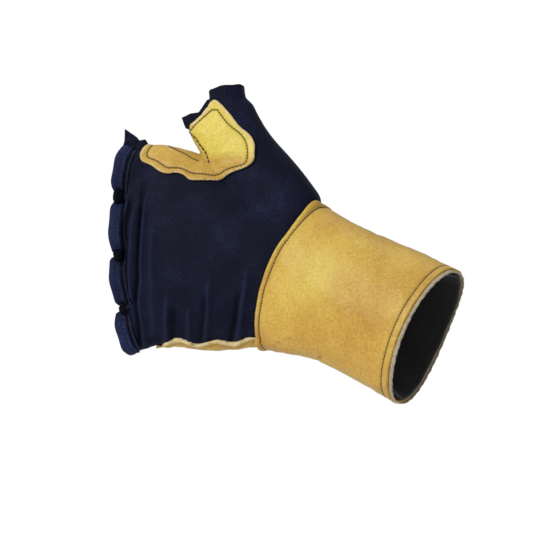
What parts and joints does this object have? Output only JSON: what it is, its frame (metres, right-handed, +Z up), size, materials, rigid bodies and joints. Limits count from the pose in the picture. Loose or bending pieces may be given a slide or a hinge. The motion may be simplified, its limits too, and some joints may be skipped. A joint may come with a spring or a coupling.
{
  "type": "impact glove",
  "caption": "Half-finger work glove in stretch fabric with a leather palm, thumb web patch and wide leather wrist cuff, in its worn form.",
  "frame": {"origin": "centre of the cuff's mouth, where the forearm goes in", "axes": "+Z is up, towards the thumb; -X is towards the fingers; -Y is out of the back of the hand, towards the viewer"},
  "size_m": [0.1945, 0.0927, 0.175],
  "materials": {
    "navy_fabric": "fine stretch knit",
    "hem_fabric": "heathered knit binding",
    "gold_leather": "soft golden grain leather",
    "black_lining": "matt lining cloth"
  },
  "bodies": {
    "root": {"hand_shell": "navy_fabric", "hem_index": "hem_fabric", "hem_middle": "hem_fabric", "hem_ring": "hem_fabric", "hem_little": "hem_fabric", "hem_thumb": "navy_fabric", "gather_index_middle": "navy_fabric", "gather_middle_ring": "navy_fabric", "gather_ring_little": "navy_fabric", "index_seam_tab": "navy_fabric", "thumb_seam_tab": "navy_fabric", "web_patch": "gold_leather", "palm_panel": "gold_leather", "cuff": "gold_leather", "cuff_lining": "black_lining"}
  },
  "joints": []
}
